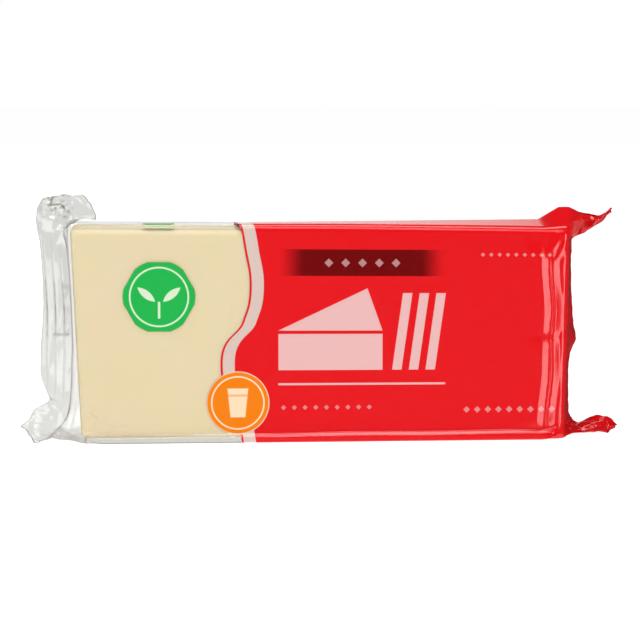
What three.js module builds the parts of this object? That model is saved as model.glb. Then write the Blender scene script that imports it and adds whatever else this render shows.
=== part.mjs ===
// A block of cheddar sealed in a flow-wrapped film pack, standing on its long narrow side.
// Millimetres, +Z up. X runs along the pack, the printed front faces -Y, and the origin is
// the middle of the flat underside.
//
// The film is one tube round the block, pinched flat at each end into a seal. The skin of
// the pack is therefore a stack of closed rings with the same points round the girth: thin
// rings across each seal, rings over the web of film between seal and block, and rings of
// the block's own section.
import * as THREE from "three";

// The wrapped block. The bar is cut a little out of square: both ends lean in towards the
// underside and the right end is lower than the left.
const LEFT_X = -75.2;
const RIGHT_X = 73.5;
const BLOCK_THICKNESS = 24;
const LEFT_HEIGHT = 64.8;
const RIGHT_HEIGHT = 63.2;
const LEFT_SLANT = 3.6;
const RIGHT_SLANT = 1.3;
const EDGE_RADIUS = 1.8;
const BLOCK_LENGTH = RIGHT_X - LEFT_X;

// The end seals: flat strips of welded film, as long as half the film's girth, so that each
// one is longer than the block is high and leaves an ear above and below it.
const SEAL_THICKNESS = 0.8;
const CUT_EDGE_SHARE = 0.95;

// The lengthwise seam, a flap folded flat against the middle of the back.
const SEAM_WIDTH = 12;
const SEAM_RELIEF = 0.7;
const SEAM_STEP = 0.4;

// The slack that lifts the film along the middle of the top, growing from the left end.
const TOP_SLACK = 1.8;

// The stops of each seal, from the tip of the top ear to the tip of the bottom ear: the share
// of the way along it, then a point of its inner line and the point of its cut edge beside it.
// The left strip stands out from the front edge of the block. The right one is folded back
// behind the pack with both ears swept outwards.
const LEFT_SEAL = [
  { share: 0, inner: [-68.5, -1, 65.9], cut: [-71.4, 2, 72.9] },
  { share: 0.065, inner: [-73.2, -1, 66.3], cut: [-77.3, 1, 73.4] },
  { share: 0.115, inner: [-75.6, -2.5, 65], cut: [-82, -1, 72.6] },
  { share: 0.16, inner: [-76.6, -5.5, 62.6], cut: [-84.6, -4, 68.8] },
  { share: 0.23, inner: [-75.9, -7.5, 57.1], cut: [-83.8, -6, 59.9] },
  { share: 0.4, inner: [-75, -8, 42.6], cut: [-83, -6, 43.7] },
  { share: 0.6, inner: [-74.8, -8, 24.5], cut: [-84, -6, 24.4] },
  { share: 0.68, inner: [-75.2, -7, 16.9], cut: [-83.9, -5, 19.4] },
  { share: 0.74, inner: [-76, -6, 11.1], cut: [-82.3, -4, 13.8] },
  { share: 0.8, inner: [-77.4, -5, 6.3], cut: [-82.2, -3, 11.5] },
  { share: 0.9, inner: [-80.9, -5, 2], cut: [-85.3, -3, 9.3] },
  { share: 1, inner: [-86.4, -10, 0.9], cut: [-90.4, -5, 5.3] },
];
const RIGHT_SEAL = [
  { share: 0, inner: [88.6, 2, 68.4], cut: [89.4, 8.5, 66.6] },
  { share: 0.07, inner: [84, 0, 65.6], cut: [83.7, 7, 62.8] },
  { share: 0.12, inner: [77.5, 0, 68.1], cut: [80.1, 6, 61.6] },
  { share: 0.17, inner: [75.1, 0, 64.8], cut: [78, 8, 59.1] },
  { share: 0.25, inner: [75.3, 0, 56], cut: [77.3, 9, 54.7] },
  { share: 0.4, inner: [75.6, 0, 40.8], cut: [77.9, 9.5, 39.9] },
  { share: 0.5, inner: [76, 0, 32.9], cut: [78.6, 9.5, 31.9] },
  { share: 0.6, inner: [75.1, 0, 25], cut: [77.2, 9.5, 23.8] },
  { share: 0.66, inner: [74.3, 0, 18.9], cut: [76.1, 9.5, 17.7] },
  { share: 0.78, inner: [74.4, 0, 8.4], cut: [76.2, 9.5, 7.7] },
  { share: 0.85, inner: [75.4, -1, 2.6], cut: [77.7, 8, 3.4] },
  { share: 0.9, inner: [78.5, -2, 0.9], cut: [81.2, 6.5, 3] },
  { share: 0.95, inner: [84.4, -2, 0.9], cut: [86, 4.5, 4.4] },
  { share: 1, inner: [89.8, -1, 0.8], cut: [91, 5, 1.8] },
];

// What sets the two ends apart. The gable is where the film lifts off the middle of the top:
// how high it rises, over which run, how far in from the end its peak lies, and how steeply it
// falls from there to the end. The web of film between the block and the ear's tip sags.
const LEFT_END = {
  side: -1,
  x: LEFT_X,
  height: LEFT_HEIGHT,
  slant: LEFT_SLANT,
  gable: { rise: 0.8, run: 8, peak: 0, fall: 0 },
  sag: 0,
  seal: LEFT_SEAL,
};
const RIGHT_END = {
  side: 1,
  x: RIGHT_X,
  height: RIGHT_HEIGHT,
  slant: RIGHT_SLANT,
  gable: { rise: 4.6, run: 7, peak: 1.5, fall: 0.3 },
  sag: 1.4,
  seal: RIGHT_SEAL,
};
const SAG_SHARE = 0.12;

// How finely the skin is cut: points round the girth and rings along the pack.
const EDGE_STEPS = 4;
const SIDE_STEPS = 6;
const FACE_STEPS = 5;
const SEAL_RINGS = 3;
const WEB_RINGS = 4;
const GABLE_RINGS = 3;
const PLAIN_RINGS = 2;

const { clamp, lerp, smoothstep } = THREE.MathUtils;

// Evenly spaced numbers from one end of a stretch to the other, both ends included.
function spaced(from, to, steps) {
  return Array.from({ length: steps + 1 }, (_, i) => lerp(from, to, i / steps));
}

// Half of the block's section, from the middle of the top, down the front, to the middle of
// the underside. Each point keeps its depth from the middle, how far down the block it is as
// a share of the height, and the share of the half girth that lies behind it.
function halfSection() {
  const height = (LEFT_HEIGHT + RIGHT_HEIGHT) / 2;
  const flat = BLOCK_THICKNESS / 2 - EDGE_RADIUS;
  const outline = [];
  for (const depth of spaced(0, flat, SIDE_STEPS)) outline.push([depth, 0]);
  for (const angle of spaced(0, Math.PI / 2, EDGE_STEPS).slice(1)) {
    outline.push([
      flat + EDGE_RADIUS * Math.sin(angle),
      EDGE_RADIUS * (1 - Math.cos(angle)),
    ]);
  }
  const seamTop = (height - SEAM_WIDTH) / 2;
  const seamBottom = (height + SEAM_WIDTH) / 2;
  const faceStops = [
    ...spaced(EDGE_RADIUS, seamTop - SEAM_STEP, FACE_STEPS).slice(1),
    seamTop,
    height / 2,
    seamBottom,
    ...spaced(seamBottom + SEAM_STEP, height - EDGE_RADIUS, FACE_STEPS),
  ];
  for (const drop of faceStops) outline.push([BLOCK_THICKNESS / 2, drop]);
  for (const angle of spaced(0, Math.PI / 2, EDGE_STEPS).slice(1)) {
    outline.push([
      flat + EDGE_RADIUS * Math.cos(angle),
      height - EDGE_RADIUS * (1 - Math.sin(angle)),
    ]);
  }
  for (const depth of spaced(flat, 0, SIDE_STEPS).slice(1)) outline.push([depth, height]);

  let run = 0;
  const points = outline.map(([depth, drop], i) => {
    if (i) run += Math.hypot(depth - outline[i - 1][0], drop - outline[i - 1][1]);
    const inSeam = drop > seamTop - SEAM_STEP / 2 && drop < seamBottom + SEAM_STEP / 2;
    return { depth, down: drop / height, run, onSeam: inSeam && depth === BLOCK_THICKNESS / 2 };
  });
  return points.map((point) => ({ ...point, share: point.run / run }));
}

const HALF = halfSection();

// The cut end of the block: where it is at a share of the way down.
function endX({ side, x, slant }, down) {
  return x - side * slant * down;
}

// The share of the block's length that lies to the left of a place on it.
function alongAt(x) {
  return (x - LEFT_X) / BLOCK_LENGTH;
}

// A ring of points from its front half, top to bottom, and its back half, bottom to top.
function closedRing(pointOf) {
  const last = HALF.length - 1;
  const front = HALF.map((point, i) => pointOf(point, i === 0 || i === last ? 0 : -1));
  const back = HALF.slice(1, last).map((point) => pointOf(point, 1));
  return [...front, ...back.reverse()];
}

// How far the film rises off the middle of the top, at an inset from the nearer end.
function gableRise({ gable }, inset) {
  const beforePeak = inset - gable.peak;
  const climb = gable.rise * clamp(1 - beforePeak / gable.run, 0, 1);
  return climb + gable.fall * Math.min(beforePeak, 0);
}

// A section of the block with the film on it. inset is how far in from the nearer end it is.
function blockRing(end, inset) {
  const flat = BLOCK_THICKNESS / 2;
  return closedRing(({ depth, down, onSeam }, face) => {
    const x = endX(end, down) - end.side * inset;
    const height = lerp(LEFT_HEIGHT, RIGHT_HEIGHT, alongAt(x));
    const rise = gableRise(end, inset) + TOP_SLACK * alongAt(x);
    const ridge = down === 0 ? rise * (1 - depth / flat) : 0;
    const seam = face > 0 && onSeam ? SEAM_RELIEF : 0;
    return new THREE.Vector3(x, face * depth + seam, (1 - down) * height + ridge);
  });
}

// The inner line and cut edge of a seal as one smooth line through its stops. It gives both
// points at a share of the way from the top tip to the bottom tip.
function sealLine({ seal }) {
  const shares = seal.map(({ share }) => share);
  const values = seal.flatMap(({ inner, cut }) => [...inner, ...cut]);
  const line = new THREE.CubicInterpolant(shares, values, 6);
  return (share) => {
    const spot = line.evaluate(clamp(share, 0, 1));
    return { inner: new THREE.Vector3(...spot), cut: new THREE.Vector3(...[...spot].slice(3)) };
  };
}

// A thin ring across an end seal, at a share of the way out from its inner line to its cut
// edge. The two layers stand apart along the direction that the strip faces.
function sealRing(end, line, out, thickness) {
  const step = 0.001;
  return closedRing(({ share }, face) => {
    const { inner, cut } = line(share);
    const down = line(share + step).inner.sub(line(share - step).inner);
    const across = cut.clone().sub(inner);
    const backward = down.cross(across).normalize().multiplyScalar(-end.side);
    return inner.lerp(cut, out).addScaledVector(backward, (face * thickness) / 2);
  });
}

// The web of film between the inner line of a seal and the end of the block, at a share of
// the way to the block.
function webRing(end, inner, shoulder, part) {
  const shares = closedRing(({ share }) => share);
  return inner.map((point, i) => {
    const sag = end.sag * (1 - smoothstep(shares[i], 0, SAG_SHARE));
    const spot = point.clone().lerp(shoulder[i], part);
    return spot.setZ(spot.z - sag * 4 * part * (1 - part));
  });
}

// The rings of one end, from the cut edge of its seal to the block's own section.
function endRings(end) {
  const line = sealLine(end);
  const cutEdge = sealRing(end, line, 1, 0);
  const strip = spaced(CUT_EDGE_SHARE, 0, SEAL_RINGS).map((out) =>
    sealRing(end, line, out, SEAL_THICKNESS),
  );
  const inner = strip.at(-1);
  const shoulder = blockRing(end, 0);
  const web = spaced(0, 1, WEB_RINGS)
    .slice(1, -1)
    .map((part) => webRing(end, inner, shoulder, part));
  const { peak, run } = end.gable;
  const insets = [...new Set([0, ...spaced(peak, peak + run, GABLE_RINGS)])];
  return [cutEdge, ...strip, ...web, ...insets.map((inset) => blockRing(end, inset))];
}

// Skins a stack of rings. The first and last ring have no thickness, so they close the skin.
function skinOf(rings) {
  const girth = rings[0].length;
  const corners = [];
  for (let r = 0; r + 1 < rings.length; r += 1) {
    for (let i = 0; i < girth; i += 1) {
      const [a, b] = [r * girth + i, r * girth + ((i + 1) % girth)];
      corners.push(a, b, a + girth, b, b + girth, a + girth);
    }
  }
  const skin = new THREE.BufferGeometry().setFromPoints(rings.flat());
  skin.setIndex(corners);
  skin.computeVertexNormals();
  return skin;
}

// The rings of one half of the pack, from the cut edge of its seal to near the middle.
function halfRings(end) {
  const { peak, run } = end.gable;
  const plain = spaced(peak + run, BLOCK_LENGTH / 2, PLAIN_RINGS).slice(1, -1);
  return [...endRings(end), ...plain.map((inset) => blockRing(end, inset))];
}

function packSkin() {
  return skinOf([...halfRings(LEFT_END), ...halfRings(RIGHT_END).reverse()]);
}

const printedFilm = new THREE.MeshStandardMaterial({
  color: 0xea1e25,
  roughness: 0.25,
  metalness: 0,
});

const wrappedBlock = new THREE.Mesh(packSkin(), printedFilm);
wrappedBlock.name = "wrapped_block";

const pack = new THREE.Group();
pack.add(wrappedBlock);

export default pack;
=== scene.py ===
# %% [markdown]
# A bar of cheddar sealed in a flow-wrapped film pack, standing on its long narrow side.
# The pack is one tube of film round the bar, pinched flat at both ends. Its left third is
# clear, so the cheese shows, and the rest is printed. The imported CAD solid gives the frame:
# the film and the bar made here take its place, in the same spot and at the same size.

# %% Load the frame
import math

import bmesh
import bpy
import numpy as np
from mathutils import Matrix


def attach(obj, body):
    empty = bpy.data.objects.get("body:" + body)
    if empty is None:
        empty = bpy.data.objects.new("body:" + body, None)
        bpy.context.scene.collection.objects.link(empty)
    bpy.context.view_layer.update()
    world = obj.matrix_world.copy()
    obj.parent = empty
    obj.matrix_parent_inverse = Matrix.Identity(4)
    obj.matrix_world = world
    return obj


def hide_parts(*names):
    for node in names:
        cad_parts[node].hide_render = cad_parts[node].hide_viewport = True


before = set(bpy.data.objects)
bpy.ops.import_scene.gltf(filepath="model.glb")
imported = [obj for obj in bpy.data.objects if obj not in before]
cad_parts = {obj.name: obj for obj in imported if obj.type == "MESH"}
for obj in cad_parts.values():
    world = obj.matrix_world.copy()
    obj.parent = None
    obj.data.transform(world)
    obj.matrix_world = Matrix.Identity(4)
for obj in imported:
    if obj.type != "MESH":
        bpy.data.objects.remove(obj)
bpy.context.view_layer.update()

MM = 0.001

# %% [markdown]
# The camera stands where the photographer stood: a little left of square and a little above
# the pack, with a long lens. The look-at point is the middle of the picture. It comes first
# because everything after it is judged through it.

# %% Camera
VIEW_AZIMUTH = math.radians(-4.0)
VIEW_ELEVATION = math.radians(6.0)
VIEW_DISTANCE = 0.8
LOOK_AT = np.array([-0.3, 0.0, 35.3]) * MM
LENS_MM = 149.3
SENSOR_MM = 36.0

away = np.array(
    [
        math.sin(VIEW_AZIMUTH) * math.cos(VIEW_ELEVATION),
        -math.cos(VIEW_AZIMUTH) * math.cos(VIEW_ELEVATION),
        math.sin(VIEW_ELEVATION),
    ]
)
camera_data = bpy.data.cameras.new("camera")
camera_data.lens = LENS_MM
camera_data.sensor_width = SENSOR_MM
camera = bpy.data.objects.new("camera", camera_data)
camera.location = LOOK_AT + away * VIEW_DISTANCE
camera.rotation_euler = (math.pi / 2 - VIEW_ELEVATION, 0, VIEW_AZIMUTH)
bpy.context.scene.collection.objects.link(camera)
bpy.context.scene.camera = camera
print("camera at", [round(v, 3) for v in camera.location])

# %% [markdown]
# The bar was cut a little out of square: both ends lean in towards the underside, and the
# right end is lower than the left. These are the sizes of the wrapped block in millimetres,
# the same ones that drive the CAD solid. Every point of the film is worked out from them.

# %% Sizes of the wrapped block
LEFT_END = -75.2
RIGHT_END = 73.5
BLOCK_THICKNESS = 24.0
LEFT_HEIGHT = 64.8
RIGHT_HEIGHT = 63.2
LEFT_SLANT = 2.9
RIGHT_SLANT = 1.3
EDGE_RADIUS = 1.8
CORNER_STEPS = 24
BLOCK_LENGTH = RIGHT_END - LEFT_END
MEAN_HEIGHT = (LEFT_HEIGHT + RIGHT_HEIGHT) / 2
HALF_THICKNESS = BLOCK_THICKNESS / 2


def smooth_step(value, low, high):
    """Rises smoothly from 0 at low to 1 at high."""
    part = np.clip((value - low) / (high - low), 0, 1)
    return part * part * (3 - 2 * part)


def half_outline(radius):
    """Half of the block's section, from mid-top down the front to mid-bottom, evenly dense."""
    flat = HALF_THICKNESS - radius
    turn = np.linspace(0, np.pi / 2, CORNER_STEPS)
    depth = np.concatenate(
        [[0], flat + radius * np.sin(turn), flat + radius * np.cos(turn), [0]]
    )
    drop = np.concatenate(
        [
            [0],
            radius * (1 - np.cos(turn)),
            MEAN_HEIGHT - radius * (1 - np.sin(turn)),
            [MEAN_HEIGHT],
        ]
    )
    run = np.concatenate([[0], np.cumsum(np.hypot(np.diff(depth), np.diff(drop)))])
    return depth, drop / MEAN_HEIGHT, run


# %% [markdown]
# The film is a grid. Its columns run along the pack and its rows run round the girth. The
# girth starts in the middle of the back, under the lengthwise seam, goes up over the top,
# down the front and back underneath. Each column keeps its share of the half girth, which
# side of the pack it is on, and how far round the film it lies. That last one is what the
# print is drawn on, so it is zero at the foot of the front and grows upwards. The columns stand
# closer along the foot, where the film forms a narrow lip.

# %% Columns round the girth
HALF_COLUMNS = 172
EVEN_PLACES = [0.0, 0.73, 0.88, 1.0]
GIRTH_SHARES = [0.0, 0.836, 0.885, 1.0]

depths, downs, runs = half_outline(EDGE_RADIUS)
HALF_GIRTH = runs[-1]
even = np.arange(HALF_COLUMNS) / HALF_COLUMNS
front_share = np.interp(even, EVEN_PLACES, GIRTH_SHARES)
back_share = np.interp(1 - even, EVEN_PLACES, GIRTH_SHARES)
mid_back = np.argmin(np.abs(back_share - 0.5))
share = np.concatenate([back_share[mid_back:], front_share, back_share[:mid_back]])
face = np.repeat([1.0, -1.0, 1.0], [HALF_COLUMNS - mid_back, HALF_COLUMNS, mid_back])
depth = np.interp(share * HALF_GIRTH, runs, depths)
down = np.interp(share * HALF_GIRTH, runs, downs)
on_top = down < 0.5 * EDGE_RADIUS / MEAN_HEIGHT
round_mm = MEAN_HEIGHT * (1 - down) + np.where(
    down < 0.5, HALF_THICKNESS - depth, depth - HALF_THICKNESS
)
mirror_mm = np.where(
    down < 0.5,
    2 * (MEAN_HEIGHT + HALF_THICKNESS) - round_mm,
    -2 * HALF_THICKNESS - round_mm,
)
girth_mm = np.where(face < 0, round_mm, mirror_mm)
print("girth", round(2 * HALF_GIRTH, 1), "mm in", len(share), "columns")

# %% [markdown]
# Film is thin and a little loose, so it lifts off the bar in places. It tents up along the
# middle of the top into a gable at the right end, and near that end it is drawn into upright
# wrinkles, with a slanted fold across the corner above them. The top front edge stands a little
# clear of the bar, and along the foot the slack gathers in a lip. All of this is added to the
# plain block shape as small offsets, so the film never leaves the bar by more than it does on
# the real pack.

# %% The film over the block
TOP_SLACK = 2.3
RIGHT_GABLE_RISE = 4.0
RIGHT_GABLE_RUN = 7.0
RIGHT_GABLE_PEAK = 1.0
RIGHT_GABLE_FALL = 0.3
LEFT_GABLE_RISE = 0.8
LEFT_GABLE_RUN = 8.0
# Slow waves over the broad faces, with runs that share no divisor, so they don't repeat.
FRONT_WAVE = 0.06
WAVES_ALONG = (11, 37)
WAVES_UP = (23, 13)
# The flat part of a face, as shares of the height below the top and above the foot.
FACE_TOP = (0.01, 0.1)
FACE_FOOT = (0.03, 0.1)
# Upright wrinkles: distance from the right end and height off the block, in millimetres.
WRINKLE_PLACES = [0.8, 1.5, 2.0, 4.4, 5.3, 7.8, 15.0]
WRINKLE_HEIGHTS = [0.0, 0.12, 0.0, 0.72, 0.05, 0.64, 0.0]
WRINKLE_TOP = (50.0, 56.0)
WRINKLE_LEAN = 0.55
# Wrinkles wander sideways and vary in strength: size, run along them and start of each wave.
WANDER_WAVES = [(0.45, 8.5, 1.0), (0.25, 3.7, 0.0)]
WRINKLE_STRENGTH = 0.93
UNEVEN_FOLDS = (0.1, 0.06)
UNEVEN_RUNS = (7, 2.9)
UNEVEN_SIDE_RUN = 2
# Half-way up, a short fold pinches the wrinkles: height, run, side shift and loss of strength.
PINCH_HEIGHT = 31.0
PINCH_RUN = 1.3
PINCH_SHIFT = 0.4
PINCH_LOSS = 0.42
FACE_EDGE = 0.8
BACK_WRINKLES = 0.4
# A slanted fold crosses the top right corner above the wrinkles.
CORNER_LEAN = 0.5
CORNER_FOOT = 58.5
CORNER_PLACES = [0.2, 1.9, 2.5, 4.6, 6.6]
CORNER_HEIGHTS = [0.0, 0.42, 0.1, 0.55, 0.0]
# The top front edge is drawn up off the bar: shares along the pack and millimetres.
TOP_EDGE_PLACES = [0.0, 0.55, 0.85, 1.0]
TOP_EDGE_LIFTS = [0.9, 1.1, 0.7, 0.3]
TOP_EDGE_DEPTH = 0.12
# The lip along the foot: levels above the floor and reach beyond the block, in millimetres.
LIP_LEVELS = [0.0, 0.1, 0.5, 1.0, 2.0, 3.05]
LIP_REACH = [0.0, 1.95, 1.63, 1.3, 1.15, 0.0]
LIP_FADE = (0.5, 4.0)
# How tall the lip is: at the left end, how much more at the right, and how much it varies.
LIP_TALL = (0.85, 0.2, 0.04)
LIP_WAVE_RUN = 7
# At both ends the lip bends up round the corner: run along the pack and rise, in millimetres.
LIP_BEND = (7.0, 2.6)


def block_film(along):
    """Film points over the block, at shares along its length from left to right."""
    along = np.asarray(along)[:, None]
    left = LEFT_END + LEFT_SLANT * down
    right = RIGHT_END - RIGHT_SLANT * down
    x = left + (right - left) * along
    z = (1 - down) * (LEFT_HEIGHT + (RIGHT_HEIGHT - LEFT_HEIGHT) * along)
    rise = TOP_SLACK * along
    before_peak = right - x - RIGHT_GABLE_PEAK
    gable = RIGHT_GABLE_RISE * np.clip(1 - before_peak / RIGHT_GABLE_RUN, 0, 1)
    rise = rise + gable + RIGHT_GABLE_FALL * np.minimum(before_peak, 0)
    rise = rise + LEFT_GABLE_RISE * np.clip(1 - (x - left) / LEFT_GABLE_RUN, 0, 1)
    z = z + rise * np.where(on_top, 1 - depth / HALF_THICKNESS, 0)
    drawn_up = np.where(
        on_top, depth / HALF_THICKNESS, 1 - smooth_step(down, 0.0, TOP_EDGE_DEPTH)
    )
    z = z + np.where(face < 0, drawn_up, 0) * np.interp(along, TOP_EDGE_PLACES, TOP_EDGE_LIFTS)
    upright = smooth_step(depth, HALF_THICKNESS - FACE_EDGE, HALF_THICKNESS)
    upright = upright * smooth_step(down, *FACE_TOP) * smooth_step(1 - down, *FACE_FOOT)
    rising = np.sin(x / WAVES_ALONG[0] + z / WAVES_UP[0])
    falling = np.sin(z / WAVES_UP[1] - x / WAVES_ALONG[1])
    lift = FRONT_WAVE * rising * falling
    pinch = np.exp(-(((z - PINCH_HEIGHT) / PINCH_RUN) ** 2))
    meander = PINCH_SHIFT * pinch
    for wide, long, begin in WANDER_WAVES:
        meander = meander + wide * np.sin(z / long + begin)
    strength = WRINKLE_STRENGTH - PINCH_LOSS * pinch
    strength = strength + UNEVEN_FOLDS[0] * np.sin(z / UNEVEN_RUNS[0] + x / UNEVEN_SIDE_RUN)
    strength = strength + UNEVEN_FOLDS[1] * np.sin(z / UNEVEN_RUNS[1])
    corner = smooth_step(z - WRINKLE_LEAN * (right - x) + meander, *WRINKLE_TOP)
    folds = np.interp(right - x - meander, WRINKLE_PLACES, WRINKLE_HEIGHTS)
    lift = lift + strength * (1 - corner) * folds
    slanted = right - x + CORNER_LEAN * (z - CORNER_FOOT)
    lift = lift + corner * np.interp(slanted, CORNER_PLACES, CORNER_HEIGHTS)
    from_end = np.minimum(x - left, right - x)
    bent_up = LIP_BEND[1] * np.clip(1 - from_end / LIP_BEND[0], 0, 1) ** 2
    tall = LIP_TALL[0] + LIP_TALL[1] * along + LIP_TALL[2] * np.sin(x / LIP_WAVE_RUN)
    level = ((1 - down) * MEAN_HEIGHT - bent_up) / tall
    lip = smooth_step(from_end, *LIP_FADE) * np.interp(level, LIP_LEVELS, LIP_REACH)
    loose = (lift * upright + lip) * np.where(face < 0, 1.0, BACK_WRINKLES)
    y = face * (depth + loose)
    return np.stack(np.broadcast_arrays(x, y, z), axis=-1)


print("film at mid-length is", round(float(np.ptp(block_film([0.5])[0, :, 2])), 1), "mm high")

# %% [markdown]
# Each end seal is a strip of two welded films. It is as long as half the girth, which is more
# than the block is high, so it leaves a loose ear above and one below. A strip is drawn
# between two smooth lines, its inner line and its cut edge, that run through a few stops from
# the tip of the top ear to the tip of the bottom ear. The left strip stands out flat. The
# right one is folded back behind the pack, with both ears swept out to the right.

# %% Lines of the end seals
# Each stop: share of the way down, inner line x, y, z, cut edge x, y, z, in millimetres.
LEFT_SEAL = [
    (0.000, -68.5, -1.0, 65.9, -71.4, 2.0, 72.9),
    (0.065, -73.2, -1.0, 66.3, -77.3, 1.0, 73.4),
    (0.115, -75.6, -2.5, 65.0, -82.0, -1.0, 72.6),
    (0.160, -76.6, -5.5, 62.6, -84.6, -4.0, 68.8),
    (0.230, -75.9, -7.5, 57.1, -83.8, -6.0, 59.9),
    (0.400, -75.0, -8.0, 42.6, -83.0, -6.0, 43.7),
    (0.600, -74.8, -8.0, 24.5, -84.0, -6.0, 24.4),
    (0.680, -75.2, -7.0, 16.9, -83.9, -5.0, 19.4),
    (0.740, -76.0, -6.0, 11.1, -82.3, -4.0, 13.8),
    (0.800, -77.4, -5.0, 6.3, -82.2, -3.0, 11.5),
    (0.900, -80.9, -5.0, 2.0, -85.3, -3.0, 9.3),
    (1.000, -86.4, -10.0, 0.9, -90.4, -5.0, 5.3),
]
RIGHT_SEAL = [
    (0.000, 88.6, 2.0, 68.4, 89.4, 8.5, 66.6),
    (0.070, 84.0, 0.0, 65.6, 83.7, 7.0, 62.8),
    (0.120, 77.5, 0.0, 66.7, 80.1, 6.0, 61.0),
    (0.170, 75.1, 0.0, 64.8, 78.0, 8.0, 59.1),
    (0.250, 75.3, 0.0, 56.0, 77.3, 9.0, 54.7),
    (0.400, 75.6, 0.0, 40.8, 77.9, 9.5, 39.9),
    (0.500, 75.9, 0.0, 32.9, 78.4, 9.5, 31.9),
    (0.545, 76.4, 0.0, 29.4, 79.3, 9.5, 28.4),
    (0.600, 75.0, 0.0, 25.0, 77.0, 9.5, 23.8),
    (0.660, 74.8, 0.0, 18.9, 76.7, 9.5, 17.7),
    (0.780, 74.9, 0.0, 8.4, 76.8, 9.5, 7.7),
    (0.850, 75.4, -1.0, 2.6, 77.7, 8.0, 3.4),
    (0.900, 78.4, -2.0, 0.9, 80.2, 5.5, 3.2),
    (0.950, 84.0, -2.5, 0.9, 85.0, 3.0, 4.8),
    (1.000, 89.8, -2.0, 0.9, 91.0, 2.0, 2.2),
]


def smooth_line(knots, stops, at):
    """A smooth line through stops that sit at knots, read at the shares in at."""
    slopes = np.gradient(stops, knots, axis=0)
    low = np.clip(np.searchsorted(knots, at, side="right") - 1, 0, len(knots) - 2)
    span = (knots[low + 1] - knots[low])[:, None]
    part = (at - knots[low])[:, None] / span
    rest = 1 - part
    return (
        (1 + 2 * part) * rest**2 * stops[low]
        + part * rest**2 * span * slopes[low]
        + part**2 * (3 - 2 * part) * stops[low + 1]
        - part**2 * rest * span * slopes[low + 1]
    )


print("stops of the left and right seal:", len(LEFT_SEAL), len(RIGHT_SEAL))

# %% [markdown]
# Film that has been squeezed into an ear is crumpled: flat little facets that meet in sharp
# creases. Smooth noise looks like dough, so this noise joins random offsets on a lattice by
# flat pieces. Two sizes of facet are added, large folds first and small creases on top.

# %% Crumpled film
CRUMPLE_SEED = 11
LATTICE = 29
crumple_table = np.random.default_rng(CRUMPLE_SEED).uniform(-1, 1, (LATTICE,) * 3 + (3,))
TILT = np.array([[0.80, 0.36, -0.48], [-0.60, 0.48, -0.64], [0.0, 0.80, 0.60]])


def facets(points, cell):
    """Random offsets on a lattice of that cell size, joined by flat facets."""
    spot = points.reshape(-1, 3) @ TILT / cell
    corner = np.floor(spot).astype(int)
    part = spot - corner
    order = np.argsort(-part, axis=1)
    ranked = np.take_along_axis(part, order, axis=1)
    weights = -np.diff(ranked, prepend=1, append=0, axis=1)
    total = np.zeros_like(spot)
    for step in range(4):
        if step:
            np.add.at(corner, (np.arange(len(corner)), order[:, step - 1]), 1)
        picked = crumple_table[tuple((corner % LATTICE).T)]
        total += weights[:, step, None] * picked
    return total.reshape(points.shape)


print("crumple lattice:", crumple_table.shape)

# %% [markdown]
# The loose film of an end is crumpled, most in the ears and hardly along the straight middle.
# The tip of the left top ear was crushed in the jaws, so it gets finer and harder creases, and
# dark specks of painted shade where the film is folded on itself.

# %% Creases of an end
LEFT_FOLDS = (6.5, 1.3)
RIGHT_FOLDS = (4.6, 1.2)
LEFT_CREASES = (2.4, 0.4)
RIGHT_CREASES = (1.8, 0.5)
CRUSH = (1.6, 0.9)
CRUSH_PLACE = 0.10
CRUSH_SPREAD = 0.035
CRUSH_DEPTH = (2.0, 5.0)
# Dark specks of painted shade in the crushed creases: their size and where they fade in.
SPECK_SIZE = 1.1
SPECK_EDGES = (0.3, 0.6)
FLOOR_GAP = 0.15


def crumpled(points, seal_mm, loose, side):
    """Crumples the rows of one end and tells where its specks of painted shade are."""
    shade_specks = np.zeros_like(seal_mm)
    sizes = (LEFT_FOLDS, LEFT_CREASES) if side < 0 else (RIGHT_FOLDS, RIGHT_CREASES)
    if side < 0:
        crush = np.exp(-(((share - CRUSH_PLACE) / CRUSH_SPREAD) ** 2))
        crush = crush * smooth_step(seal_mm, *CRUSH_DEPTH)
        points = points + facets(points, CRUSH[0]) * CRUSH[1] * crush[:, :, None]
        rough = np.abs(facets(points, SPECK_SIZE)[:, :, 0])
        # The specks are painted shade in the crushed folds.
        shade_specks = crush * smooth_step(rough, *SPECK_EDGES)
    for cell, height in sizes:
        points = points + facets(points, cell) * height * loose[:, :, None]
    points[:, :, 2] = np.maximum(points[:, :, 2], FLOOR_GAP)
    return points, shade_specks


print("folds of the left and right ears, size and height in mm:", LEFT_FOLDS, RIGHT_FOLDS)

# %% [markdown]
# One end of the film, from the cut edge of its seal to the block: rows across the welded
# strip, rows over the web of film between strip and block, and a few rows that round the
# block's end edge. The two layers of the strip meet at the cut edge, so the bag is closed.

# %% The film at one end
SEAL_ROWS = 40
WEB_ROWS = 14
BEND_ROWS = 5
SEAL_GAP = 0.3
END_BEND = 1.7
BEND_SHARE = 0.45
EAR_BULGE = 1.6
EAR_BULGE_END = 0.06
WEB_SAG = 2.2
WEB_SAG_END = 0.12
LEFT_STRAIGHT = 0.1
RIGHT_STRAIGHT = 0.4
WEB_EASE = 0.7
WEB_CLEAR = 7.0
WEB_HAZY = 12.0
# Painted shade low on the end webs: how grey it is, and the shares down the strip where it comes
# in.
LOW_WEB_SHADE = 0.2
LOW_WEB = (0.79, 0.85)
SLOPE_STEP = 1e-3


def seal_lines(stops, side):
    """A strip's inner line, its cut edge and the way its back faces, at every column."""
    table = np.array(stops)
    inner = smooth_line(table[:, 0], table[:, 1:4], share)
    cut = smooth_line(table[:, 0], table[:, 4:7], share)
    run = smooth_line(table[:, 0], table[:, 1:4], np.clip(share + SLOPE_STEP, 0, 1))
    run = run - smooth_line(table[:, 0], table[:, 1:4], np.clip(share - SLOPE_STEP, 0, 1))
    backward = np.cross(run, cut - inner) * -side
    backward /= np.linalg.norm(backward, axis=1, keepdims=True)
    return inner, cut, backward


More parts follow.
